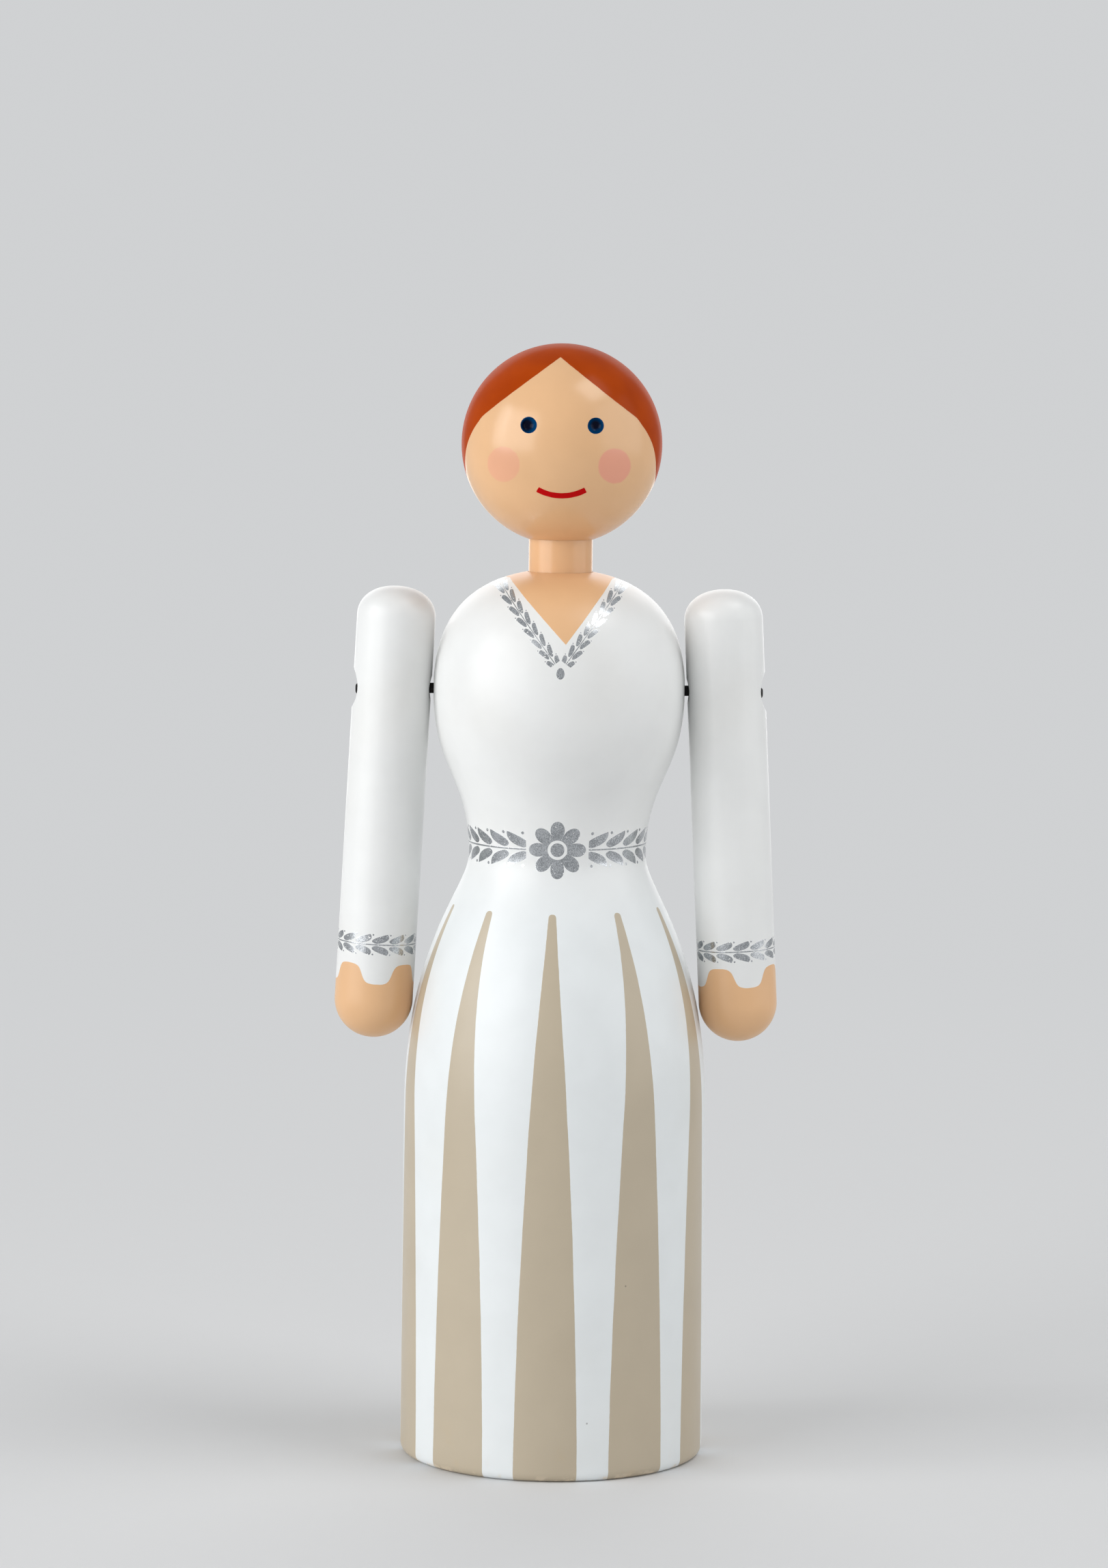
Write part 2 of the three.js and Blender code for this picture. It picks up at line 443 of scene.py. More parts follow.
def tie_elastic():
    """The cord with an overhand knot at each end, as one tube along its route."""
    route = elastic_route()
    line = bpy.data.curves.new("elastic_route", "CURVE")
    line.dimensions = "3D"
    line.bevel_depth = CORD_RADIUS * MM
    line.bevel_resolution = 5
    line.use_fill_caps = True
    run = line.splines.new("POLY")
    run.points.add(len(route) - 1)
    for point, (x, y, z) in zip(run.points, route):
        point.co = (x * MM, y * MM, (z + CHEST_HEIGHT) * MM, 1)
    for i, width in enumerate(TIP_WIDTHS, -len(TIP_WIDTHS)):
        run.points[i].radius = run.points[-1 - i].radius = width
    holder = bpy.data.objects.new("elastic_route", line)
    bpy.context.scene.collection.objects.link(holder)
    graph = bpy.context.evaluated_depsgraph_get()
    tube = bpy.data.meshes.new_from_object(holder.evaluated_get(graph))
    skin = bmesh.new()
    skin.from_mesh(tube)
    bpy.data.objects.remove(holder)
    bpy.data.meshes.remove(tube)
    bmesh.ops.remove_doubles(skin, verts=skin.verts, dist=1e-7)
    return skin


# Shader tools. Paint is laid out in millimetres on each piece's own Object coordinates.


class Wire:
    """A number that changes over a surface. Sums and products of wires add shader nodes."""

    def __init__(self, tree, socket):
        self.tree = tree
        self.socket = socket

    def by(self, operation, *others):
        return reckon(self.tree, operation, self, *others)

    def __add__(self, other):
        return self.by("ADD", other)

    def __sub__(self, other):
        return self.by("SUBTRACT", other)

    def __mul__(self, other):
        return self.by("MULTIPLY", other)

    def __truediv__(self, other):
        return self.by("DIVIDE", other)

    def __pow__(self, other):
        return self.by("POWER", other)

    def __rsub__(self, other):
        return reckon(self.tree, "SUBTRACT", other, self)

    def __neg__(self):
        return self.by("MULTIPLY", -1.0)

    def __abs__(self):
        return self.by("ABSOLUTE")

    __radd__ = __add__
    __rmul__ = __mul__


def feed(tree, socket, value):
    """Links a wire or a socket into a socket, or sets the socket's own value."""
    if isinstance(value, Wire):
        tree.links.new(value.socket, socket)
    elif isinstance(value, bpy.types.NodeSocket):
        tree.links.new(value, socket)
    else:
        socket.default_value = value


def reckon(tree, operation, *values):
    """A sum, product or other operation on wires and numbers."""
    node = tree.nodes.new("ShaderNodeMath")
    node.operation = operation
    for socket, value in zip(node.inputs, values):
        feed(tree, socket, value)
    return Wire(tree, node.outputs[0])


def split(tree, place):
    """The three coordinates of a place."""
    node = tree.nodes.new("ShaderNodeSeparateXYZ")
    feed(tree, node.inputs[0], place)
    return [Wire(tree, socket) for socket in node.outputs]


def ramp(value, low, high):
    """0 at one value and 1 at another, with a smooth rise between them."""
    node = value.tree.nodes.new("ShaderNodeMapRange")
    node.interpolation_type = "SMOOTHSTEP"
    for label, number in (("From Min", low), ("From Max", high)):
        node.inputs[label].default_value = number
    feed(value.tree, node.inputs["Value"], value)
    return Wire(value.tree, node.outputs[0])


def inside(distance, soft=0.03):
    """1 where a signed distance is below nought, with a soft edge."""
    return ramp(-distance, -soft, soft)


def either(first, second):
    return first.by("MAXIMUM", second)


def both(first, second):
    return first.by("MINIMUM", second)


def length(first, second):
    return (first * first + second * second).by("SQRT")


def rounded_end(past_side, past_end, radius):
    """Signed distance to a shape with a rounded corner where its side and its end meet."""
    beyond = length(past_side.by("MAXIMUM", 0.0), past_end.by("MAXIMUM", 0.0))
    return beyond + either(past_side, past_end).by("MINIMUM", 0.0) - radius


def between(share, low, high):
    """A number between two others, by a share from 0 to 1."""
    return low + share * (high - low)


def mix(tree, share, under, over, blend="MIX"):
    """A colour with a share of another colour over it."""
    node = tree.nodes.new("ShaderNodeMix")
    node.data_type = "RGBA"
    node.blend_type = blend
    for index, value in ((0, share), (6, under), (7, over)):
        feed(tree, node.inputs[index], value)
    return node.outputs[2]


def cloud(tree, place, size, detail=2.0, stretch=None):
    """Smooth noise with blotches of about the size given, in the unit of the place."""
    if stretch:
        node = tree.nodes.new("ShaderNodeVectorMath")
        node.operation = "MULTIPLY"
        feed(tree, node.inputs[0], place)
        node.inputs[1].default_value = stretch
        place = node.outputs[0]
    noise = tree.nodes.new("ShaderNodeTexNoise")
    feed(tree, noise.inputs["Vector"], place)
    noise.inputs["Scale"].default_value = 1 / size
    noise.inputs["Detail"].default_value = detail
    return Wire(tree, noise.outputs[0])


def colour(red, green, blue):
    """A paint colour as seen on a screen, 0 to 255, in the shader's linear values."""
    shares = [channel / 255 for channel in (red, green, blue)]
    return (*[c / 12.92 if c <= 0.04045 else ((c + 0.055) / 1.055) ** 2.4 for c in shares], 1.0)


def shared_effect(name, inputs, outputs):
    """A shader group with named sockets; returns it with its inner ends."""
    tree = bpy.data.node_groups.new(name, "ShaderNodeTree")
    for label, kind in inputs.items():
        tree.interface.new_socket(label, in_out="INPUT", socket_type="NodeSocket" + kind)
    for label, kind in outputs.items():
        tree.interface.new_socket(label, in_out="OUTPUT", socket_type="NodeSocket" + kind)
    entry = tree.nodes.new("NodeGroupInput")
    leave = tree.nodes.new("NodeGroupOutput")
    return tree, entry.outputs, leave.inputs


def apply_effect(tree, effect, **values):
    """Places a shared effect in a material and returns its outputs."""
    node = tree.nodes.new("ShaderNodeGroup")
    node.node_tree = effect
    for label, value in values.items():
        feed(tree, node.inputs[label], value)
    return node.outputs


def raise_surface(tree, surface, height):
    """Lifts a surface's shading by a height in millimetres."""
    bump = tree.nodes.new("ShaderNodeBump")
    bump.inputs["Distance"].default_value = MM
    feed(tree, bump.inputs["Height"], height)
    tree.links.new(bump.outputs[0], surface.inputs["Normal"])


# Colours of the paints, the print and the bare wood.
WHITE = colour(236, 237, 236)
LOWER_COOL_WHITE = colour(232, 236, 237)
TAUPE = colour(190, 177, 155)
SKIN = colour(231, 185, 139)
SKIN_DEEP = colour(222, 176, 128)
HAIR = colour(176, 66, 0)
HAIR_DEEP = colour(144, 44, 0)
CHEEK = colour(234, 162, 136)
LIPS = colour(192, 0, 4)
# Eye paint: the dark sits on the shaded side of each sunk eye as painted shade, and the blue left on its
# lit side is a painted highlight.
IRIS_AND_LIT_SIDE = colour(2, 60, 106)
PUPIL_AND_SHADE = colour(0, 4, 34)
PRIMER = colour(226, 210, 186)
SMUDGE = colour(196, 168, 112)
STAIN = colour(206, 186, 150)
MOTTLE = colour(120, 116, 112)
SPECK = colour(96, 88, 80)
WOOD_PALE = colour(226, 197, 158)
WOOD_RING = colour(198, 158, 114)
WOOD_PORE = colour(150, 110, 72)
SILVER = colour(194, 197, 200)
SILVER_DARK = colour(106, 111, 115)
THREAD_DARK = colour(14, 14, 15)
THREAD_WORN = colour(46, 45, 46)

# Gloss of each finish, and how thick its layers are in millimetres.
LACQUER_ROUGHNESS = (0.29, 0.39)
SILVER_ROUGHNESS = (0.16, 0.26)
THREAD_ROUGHNESS = (0.7, 0.95)
WOOD_ROUGHNESS = 0.78
VARNISH_ROUGHNESS = 0.22
VARNISH = 0.9
VARNISH_MISSING = 0.72
BRUSHED_LAYER = 0.012
PRINT_LAYER = 0.006
LACQUER_LAYER = 0.03

# Sprayed paint: the most that stain and mottle darken it, the spacing of its specks in millimetres with
# their radius and rarity as shares, and the height of its texture in millimetres.
STAIN_SHARE = 0.06
MOTTLE_SHARE = 0.05
SPECKS = 0.55
SPECK_SPACING = 5.5
SPECK_RADIUS = 0.028
SPECK_RARITY = 0.8
PEEL_HEIGHT = 0.006
GRAIN_HEIGHT = 0.006
LATHE_HEIGHT = 0.003

# Bare wood: the middle of its year rings as (x, y), how far they wander and how close they lie.
RING_MIDDLE = (-31.0, 9.0)
RING_WANDER = 3.0
RING_CLOSENESS = 2.4
PORE_HEIGHT = 0.03

# A printed leaf, stem and dot, as shares of the leaf's reach or of the pitch of the row.
LEAF_LEAN = 0.75
LEAF_CURL = 0.35
LEAF_FOOT = 0.1
LEAF_SWELL = 0.75
LEAF_WIDTH = 0.34
STEM_WIDTH = 0.035
DOT_ALONG = 1.2
DOT_AHEAD = 0.12
DOT_ACROSS = 0.93
DOT_RADIUS = 0.085

# A printed flower, as shares of its radius, and the power that rounds its petals.
PETAL_ROOT = 0.5
PETAL_GAP = 0.34
BUTTON_RADIUS = 0.24
PETAL_POWER = 0.55


def lacquer_effect():
    """Sprayed paint on turned wood: faint mottle, orange peel, turning lines and a few specks."""
    tree, given, result = shared_effect(
        "lacquer",
        {"Place": "Vector", "Paint": "Color", "Specks": "Float"},
        {"Colour": "Color", "Roughness": "Float", "Height": "Float"},
    )
    place = given["Place"]
    stain = ramp(cloud(tree, place, size=24.0), 0.5, 0.75)
    mottle = ramp(cloud(tree, place, size=7.0, detail=3.0), 0.25, 0.8)
    toned = mix(tree, stain * STAIN_SHARE, given["Paint"], STAIN, "MULTIPLY")
    shade = mix(tree, mottle * MOTTLE_SHARE, toned, MOTTLE, "MULTIPLY")
    dots = tree.nodes.new("ShaderNodeTexVoronoi")
    feed(tree, dots.inputs["Vector"], place)
    dots.inputs["Scale"].default_value = 1 / SPECK_SPACING
    rare = tree.nodes.new("ShaderNodeSeparateColor")
    feed(tree, rare.inputs[0], dots.outputs["Color"])
    speck = inside(Wire(tree, dots.outputs["Distance"]) - SPECK_RADIUS, soft=0.006)
    speck = speck * ramp(Wire(tree, rare.outputs[0]), SPECK_RARITY, SPECK_RARITY + 0.02)
    feed(tree, result["Colour"], mix(tree, speck * given["Specks"], shade, SPECK))
    gloss = cloud(tree, place, size=2.6, detail=3.0)
    feed(tree, result["Roughness"], between(gloss, *LACQUER_ROUGHNESS))
    peel = cloud(tree, place, size=1.1, detail=1.0)
    grain = cloud(tree, place, size=0.7, stretch=(1.0, 1.0, 0.06))
    lathe = cloud(tree, place, size=0.5, detail=1.0, stretch=(0.03, 0.03, 1.0))
    height = peel * PEEL_HEIGHT + grain * GRAIN_HEIGHT + lathe * LATHE_HEIGHT
    feed(tree, result["Height"], height)
    return tree


def bare_wood_effect():
    """Unpainted beech in the holes and under the foot: fibres, pores and dark end grain rings."""
    tree, given, result = shared_effect(
        "bare_wood", {"Place": "Vector"}, {"Colour": "Color", "Height": "Float"}
    )
    place = given["Place"]
    x, y, _ = split(tree, place)
    bow = cloud(tree, place, size=16.0)
    out = length(x - RING_MIDDLE[0], y - RING_MIDDLE[1]) + bow * RING_WANDER
    rings = (out * RING_CLOSENESS).by("SINE") * 0.5 + 0.5
    pores = cloud(tree, place, size=0.4, stretch=(1.0, 1.0, 0.12))
    ringed = mix(tree, rings * 0.55, WOOD_PALE, WOOD_RING)
    feed(tree, result["Colour"], mix(tree, ramp(pores, 0.55, 0.75) * 0.5, ringed, WOOD_PORE))
    feed(tree, result["Height"], pores * PORE_HEIGHT)
    return tree


def silver_effect():
    """Silver print: fine metal flake with pinholes, darker where the flake lies thick."""
    tree, given, result = shared_effect(
        "silver_print",
        {"Place": "Vector", "Mask": "Float"},
        {"Colour": "Color", "Roughness": "Float", "Share": "Float"},
    )
    place = given["Place"]
    flake = cloud(tree, place, size=0.16, detail=1.0)
    thick = cloud(tree, place, size=2.2)
    pinholes = 1.0 - ramp(cloud(tree, place, size=0.3, detail=1.0), 0.70, 0.74)
    dark = ramp(flake + thick * 0.5, 0.62, 0.9)
    feed(tree, result["Colour"], mix(tree, dark * 0.55, SILVER, SILVER_DARK))
    feed(tree, result["Roughness"], between(flake, *SILVER_ROUGHNESS))
    feed(tree, result["Share"], Wire(tree, given["Mask"]) * pinholes)
    return tree


def leaf_row_effect():
    """A running row of paired leaves on a thin stem with a dot between the pairs.
    Along and Across are millimetres on the surface; leaves sweep towards larger Along."""
    tree, given, result = shared_effect(
        "leaf_row",
        {"Along": "Float", "Across": "Float", "Pitch": "Float", "Reach": "Float"},
        {"Mask": "Float"},
    )
    along, across = Wire(tree, given["Along"]), abs(Wire(tree, given["Across"]))
    pitch, reach = Wire(tree, given["Pitch"]), Wire(tree, given["Reach"])
    rise = across / reach
    swept = along - reach * (rise * LEAF_LEAN + rise * rise * LEAF_CURL)
    aside = abs(swept.by("WRAP", pitch * 0.5, pitch * -0.5))
    fill = ((rise - LEAF_FOOT) / (1.0 - LEAF_FOOT)).by("MAXIMUM", 0.0) ** LEAF_SWELL
    fullness = fill * (1.0 - fill).by("MAXIMUM", 0.0) * 4.0
    leaf = inside(aside * 0.8 - pitch * fullness * LEAF_WIDTH) * inside(rise - 1.0, soft=0.02)
    stem = inside(across - pitch * STEM_WIDTH, soft=0.02)
    past_dot = along - reach * DOT_ALONG - pitch * DOT_AHEAD
    dot_along = past_dot.by("WRAP", pitch * 0.5, pitch * -0.5)
    dot_away = length(dot_along, across - reach * DOT_ACROSS)
    dot = inside(dot_away - reach * DOT_RADIUS, soft=0.02)
    feed(tree, result["Mask"], either(either(leaf, stem), dot))
    return tree


def flower_effect():
    """A round flower about a middle point, with petals, a gap and a button."""
    tree, given, result = shared_effect(
        "print_flower",
        {"Across": "Float", "Up": "Float", "Radius": "Float", "Petals": "Float"},
        {"Mask": "Float"},
    )
    across, up = Wire(tree, given["Across"]), Wire(tree, given["Up"])
    away = length(across, up) / Wire(tree, given["Radius"])
    turned = across.by("ARCTAN2", up) * Wire(tree, given["Petals"]) * 0.5
    edge = between(abs(turned.by("COSINE")) ** PETAL_POWER, PETAL_ROOT, 1.0)
    petals = inside(away - edge, soft=0.015) * inside(PETAL_GAP - away, soft=0.015)
    button = inside(away - BUTTON_RADIUS, soft=0.015)
    feed(tree, result["Mask"], either(petals, button))
    return tree


def painted_edge_effect():
    """How far a painted edge strays from its line, in millimetres."""
    tree, given, result = shared_effect("painted_edge", {"Place": "Vector"}, {"Stray": "Float"})
    fine = cloud(tree, given["Place"], size=0.7) - 0.5
    slow = cloud(tree, given["Place"], size=5.0, detail=1.0) - 0.5
    feed(tree, result["Stray"], fine * 0.12 + slow * 0.25)
    return tree


lacquer = lacquer_effect()
bare_wood = bare_wood_effect()
silver = silver_effect()
leaf_row = leaf_row_effect()
flower = flower_effect()
painted_edge = painted_edge_effect()


class Spot:
    """A place on a piece, in millimetres, with Z along the piece."""

    def __init__(self, tree, place):
        self.tree = tree
        self.place = place
        self.x, self.y, self.z = split(tree, place)

    @cached_property
    def away(self):
        """Distance from the piece's axis."""
        return length(self.x, self.y)

    @cached_property
    def around(self):
        """Turn about the piece's axis from the front, in radians."""
        return self.x.by("ARCTAN2", -self.y)

    @cached_property
    def stray(self):
        """How far a painted edge strays here."""
        return Wire(self.tree, apply_effect(self.tree, painted_edge, Place=self.place)["Stray"])


def start_paint(name, middle=(0.0, 0.0, 0.0), lean=0.0):
    """A new paint with its Principled node, and the spot that it colours, counted from a middle point
    in millimetres and along a leaning piece."""
    material = bpy.data.materials.new(name)
    material.use_nodes = True
    tree = material.node_tree
    coordinates = tree.nodes.new("ShaderNodeTexCoord")
    mapped = tree.nodes.new("ShaderNodeMapping")
    mapped.inputs["Scale"].default_value = (1 / MM, 1 / MM, 1 / MM)
    mapped.inputs["Rotation"].default_value = (0.0, lean, 0.0)
    mapped.inputs["Location"].default_value = -(Matrix.Rotation(lean, 3, "Y") @ Vector(middle))
    tree.links.new(coordinates.outputs["Object"], mapped.inputs["Vector"])
    return material, tree.nodes["Principled BSDF"], Spot(tree, mapped.outputs[0])


def finish_paint(surface, spot, paint, print_mask=None, raw=None, varnish=None, ridge=None, specks=0.0):
    """Lacquers a paint, varnishes it, lays the silver print on it and leaves bare wood where it is raw.
    ridge is how far brushed paint stands up, in millimetres."""
    tree, place = spot.tree, spot.place
    coat = apply_effect(tree, lacquer, Place=place, Paint=paint, Specks=specks)
    tone, rough, height = coat["Colour"], Wire(tree, coat["Roughness"]), Wire(tree, coat["Height"])
    if ridge is not None:
        height = height + ridge
    if varnish is not None:
        feed(tree, surface.inputs["Coat Weight"], varnish)
        surface.inputs["Coat Roughness"].default_value = VARNISH_ROUGHNESS
        surface.inputs["Specular IOR Level"].default_value = 0.0
    if print_mask is not None:
        foil = apply_effect(tree, silver, Place=place, Mask=print_mask)
        share = Wire(tree, foil["Share"])
        tone = mix(tree, share, tone, foil["Colour"])
        rough = rough + share * (Wire(tree, foil["Roughness"]) - rough)
        height = height + share * PRINT_LAYER
        feed(tree, surface.inputs["Metallic"], share)
    if raw is not None:
        wood = apply_effect(tree, bare_wood, Place=place)
        tone = mix(tree, raw, tone, wood["Colour"])
        rough = rough + raw * (WOOD_ROUGHNESS - rough)
        height = height + raw * (Wire(tree, wood["Height"]) - LACQUER_LAYER)
    feed(tree, surface.inputs["Base Color"], tone)
    feed(tree, surface.inputs["Roughness"], rough)
    raise_surface(tree, surface, height)


def leaf_mask(along, across, pitch, reach):
    """Where a row of leaves is printed, from the way along it and across it in millimetres."""
    tree = along.tree
    row = apply_effect(tree, leaf_row, Along=along, Across=across, Pitch=pitch, Reach=reach)
    return Wire(tree, row["Mask"])


# Skirt stripes: widths in degrees round the skirt, heights and rounding in millimetres.
STRIPES = 10
STRIPE_TURN = -1.9
STRIPE_TOP = 84.5
STRIPE_TOP_WIDTH = 3.7
STRIPE_HEM_WIDTH = 23.8
STRIPE_SWELL = 1.65
STRIPE_CORNER = 0.45
STRIPE_SLIP_TURN = 0.7
STRIPE_SLIP = 0.5
STRIPE_DRAW = 0.37


def stripe_mask(spot):
    """Stripes that taper up the skirt, each a little off its even place, with a rounded top."""
    tree = spot.tree
    pitch = math.tau / STRIPES
    turned = spot.around - math.radians(STRIPE_TURN)
    number = (turned / pitch + 0.5).by("FLOOR")
    draw = tree.nodes.new("ShaderNodeTexWhiteNoise")
    draw.noise_dimensions = "1D"
    feed(tree, draw.inputs["W"], number + STRIPE_DRAW)
    chance = Wire(tree, draw.outputs["Value"]) - 0.5
    offset = turned.by("WRAP", pitch / 2, -pitch / 2) + chance * math.radians(STRIPE_SLIP_TURN)
    fall = (1.0 - spot.z / STRIPE_TOP).by("MAXIMUM", 0.0).by("MINIMUM", 1.0)
    swell = 1.0 - (1.0 - fall) ** STRIPE_SWELL
    half = between(swell, math.radians(STRIPE_TOP_WIDTH / 2), math.radians(STRIPE_HEM_WIDTH / 2))
    past_side = (abs(offset) - half) * spot.away + STRIPE_CORNER
    past_top = spot.z - (STRIPE_TOP - STRIPE_CORNER) + chance * STRIPE_SLIP
    return inside(rounded_end(past_side, past_top, STRIPE_CORNER) + spot.stray * 0.5)


# Neckline: the tip of its V as (x, height), the rise of its left and right edges, the radius behind.
NECKLINE_TIP = (0.9, 124.5)
NECKLINE_SLOPES = (1.07, 1.32)
NECKLINE_SLANT = 0.62
NECKLINE_SIDE = 1.5
NECKLINE_BACK = 8.2
NECKLINE_LOWEST = 118.0


def neckline_mask(spot):
    """Skin at the neck: a V in front and a round edge behind."""
    tip_x, tip_z = NECKLINE_TIP
    out, up = spot.x - tip_x, spot.z - tip_z
    left_edge = up + out * NECKLINE_SLOPES[0]
    right_edge = up - out * NECKLINE_SLOPES[1]
    front = either(-both(left_edge, right_edge) * NECKLINE_SLANT, spot.y + NECKLINE_SIDE)
    skin = inside(both(front, spot.away - NECKLINE_BACK) + spot.stray * 0.4)
    return skin * ramp(spot.z, NECKLINE_LOWEST, NECKLINE_LOWEST + 1.0)


# Print on the body: the belt with its flower, and the rows along the neckline.
BELT_HEIGHT = 93.6
BELT_REACH = 2.65
BELT_LEAVES = 26
BELT_GAP = 4.7
BELT_START = 4.9
FLOWER_RADIUS = 4.3
FLOWER_PETALS = 8.0
NECK_PRINT_TIP = (0.15, 120.6)
NECK_PRINT_SLOPE = 1.36
NECK_PRINT_BACK = 9.9
NECK_PRINT_LOWEST = 126.0
NECK_PRINT_SIDE = 3.8
NECK_PRINT_PITCH = 1.9
NECK_PRINT_REACH = 1.05
NECK_PRINT_START = 1.0
NECK_PRINT_GAP = 1.3
DROP_RADIUS = 1.0
DROP_NARROW = 1.5
DROP_LOWER = 0.15
DROP_TAPER = 0.45


def belt_mask(spot):
    """A flower in front, and leaves that run from it round both sides of the waist."""
    tree = spot.tree
    aside = abs(spot.around) * WAIST_RADIUS
    up = spot.z - BELT_HEIGHT
    pitch = math.tau * WAIST_RADIUS / BELT_LEAVES
    leaves = leaf_mask(aside - BELT_START, up, pitch, BELT_REACH)
    leaves = leaves * ramp(aside, BELT_GAP, BELT_GAP + 0.1)
    rosette = apply_effect(
        tree,
        flower,
        Across=spot.around * WAIST_RADIUS,
        Up=up,
        Radius=FLOWER_RADIUS,
        Petals=FLOWER_PETALS,
    )
    return either(leaves, Wire(tree, rosette["Mask"]))


def neck_print_mask(spot):
    """Leaves up both sides of the V from a drop at its tip, and on round the back of the neck."""
    tip_x, tip_z = NECK_PRINT_TIP
    out, up = abs(spot.x - tip_x), spot.z - tip_z
    slant = math.atan(NECK_PRINT_SLOPE)
    along = out * math.cos(slant) + up * math.sin(slant)
    across = up * math.cos(slant) - out * math.sin(slant)
    front = ramp(-spot.y, NECK_PRINT_SIDE, NECK_PRINT_SIDE + 0.2)
    front_row = leaf_mask(along - NECK_PRINT_START, across, NECK_PRINT_PITCH, NECK_PRINT_REACH)
    front_row = front_row * front * ramp(along, NECK_PRINT_GAP, NECK_PRINT_GAP + 0.1)
    back_along = abs(spot.around) * NECK_PRINT_BACK
    back_across = spot.away - NECK_PRINT_BACK
    back_row = leaf_mask(back_along, back_across, NECK_PRINT_PITCH, NECK_PRINT_REACH)
    back_row = back_row * (1.0 - front) * ramp(spot.z, NECK_PRINT_LOWEST, NECK_PRINT_LOWEST + 1.0)
    drop_edge = length(out * DROP_NARROW, up + DROP_LOWER) - DROP_RADIUS
    drop = inside(drop_edge + ramp(up, -1.0, 1.4) * DROP_TAPER)
    return either(either(front_row, back_row), drop * front)


# Where the white turns cooler down the body, wear at the foot, and where the body is left bare: under the
# base and in the neck socket.
COOL_WHITE_FADE = (96.0, 80.0)
RUB_HEIGHT = 0.75
RUB_SHARE = 0.75
SMUDGE_HEIGHT = 5.0
SMUDGE_SHARE = 0.22
BASE_BARE = 0.02
SOCKET_BARE = (100.0, 101.0)


def body_paint():
    material, surface, spot = start_paint("body_paint")
    tree, place, z = spot.tree, spot.place, spot.z
    stripe = stripe_mask(spot)
    skin = neckline_mask(spot)
    # The white turns a little cooler below the waist.
    paint = mix(tree, ramp(z, *COOL_WHITE_FADE), WHITE, LOWER_COOL_WHITE)
    paint = mix(tree, stripe, paint, TAUPE)
    paint = mix(tree, skin, paint, SKIN)
    rub = ramp(cloud(tree, place, size=1.6, detail=3.0), 0.5, 0.66) * inside(z - RUB_HEIGHT, soft=0.4)
    paint = mix(tree, rub * RUB_SHARE, paint, PRIMER)
    smudge = ramp(cloud(tree, place, size=5.0), 0.56, 0.8) * inside(z - SMUDGE_HEIGHT, SMUDGE_HEIGHT)
    paint = mix(tree, smudge * SMUDGE_SHARE, paint, SMUDGE)
    socket = inside(spot.away - NECK_SOCKET - 0.05) * ramp(z, *SOCKET_BARE)
    finish_paint(
        surface,
        spot,
        paint,
        print_mask=either(belt_mask(spot), neck_print_mask(spot)),
        raw=either(inside(z - BASE_BARE, BASE_BARE), socket),
        ridge=(stripe + skin) * BRUSHED_LAYER,
        specks=SPECKS,
    )
    return material


# Cuffs and hands, measured along each arm below its pivot: the print, and the scalloped edge.
# Pairs are for the right arm and the left arm.
CUFF_PRINT = (38.5, 39.0)
CUFF_REACH = 1.6
CUFF_LEAVES = 14
SCALLOPS = 4
SCALLOP_MIDDLE = 43.0
SCALLOP_SWING = 1.5
SCALLOP_TURN = (4.0, 17.0)
SCALLOP_SOFTNESS = 0.2
WELL_BARE = 0.5
WELL_BARE_RISE = 4.0


def arm_paint(name, side):
    middle = (side * ARM_X, 0.0, CHEST_HEIGHT)
    material, surface, spot = start_paint(name, middle, side * ARM_LEAN)
    arm = 1 if side > 0 else 0
    below = -spot.z
    wave = ((spot.around - math.radians(SCALLOP_TURN[arm])) * SCALLOPS).by("COSINE")
    wave = wave / (wave * wave + SCALLOP_SOFTNESS).by("SQRT") * math.sqrt(1 + SCALLOP_SOFTNESS)
    hand = inside(SCALLOP_MIDDLE + wave * SCALLOP_SWING - below + spot.stray * 0.7)
    pitch = math.tau * ARM_RADIUS / CUFF_LEAVES
    well = inside(spot.away - ARM_RADIUS + WELL_BARE, soft=0.15)
    finish_paint(
        surface,
        spot,
        mix(spot.tree, hand, WHITE, SKIN),
        print_mask=leaf_mask(spot.around * ARM_RADIUS, below - CUFF_PRINT[arm], pitch, CUFF_REACH),
        raw=well * inside(abs(spot.z) - WELL_BARE_RISE, soft=0.05),
        ridge=hand * BRUSHED_LAYER,
        specks=SPECKS,
    )
    return material


# Hair on the ball head, in millimetres from its middle: the parting over the brow, the temple where
# the hair comes furthest forward, and the nape.
HAIR_TURN = math.radians(2.7)
PARTING_HEIGHT = 13.1
PARTING_FALL = 0.77
TEMPLE_FRONT = 8.57
TEMPLE_HEIGHT = 3.67
TEMPLE_FALL = 0.702
CROWN_RISE = 0.3
NAPE_FRONT = 2.99
NAPE_HEIGHT = -4.28
NAPE_FALL = 0.575
TEMPLE_ROUND = 1.0
NAPE_ROUND = 1.5
BROW_ROUND = 1.2
HAIR_SLANT = 0.8


def hair_mask(spot):
    """Hair parted over the brow and drawn back past the temples to a low nape."""
    z = spot.z
    aside = spot.x * math.cos(HAIR_TURN) - spot.y * math.sin(HAIR_TURN)
    depth = spot.x * math.sin(HAIR_TURN) + spot.y * math.cos(HAIR_TURN)
    parting = z + abs(aside) * PARTING_FALL - PARTING_HEIGHT
    temple = depth + (z - TEMPLE_HEIGHT) * TEMPLE_FALL + TEMPLE_FRONT
    crown = depth - (z - TEMPLE_HEIGHT) * CROWN_RISE + TEMPLE_FRONT
    nape = z - NAPE_HEIGHT + (depth + NAPE_FRONT) * NAPE_FALL
    behind = temple.by("SMOOTH_MIN", crown, TEMPLE_ROUND).by("SMOOTH_MIN", nape, NAPE_ROUND)
    edge = parting.by("SMOOTH_MAX", behind, BROW_ROUND)
    return inside(-edge * HAIR_SLANT + spot.stray * 0.6, soft=0.04)
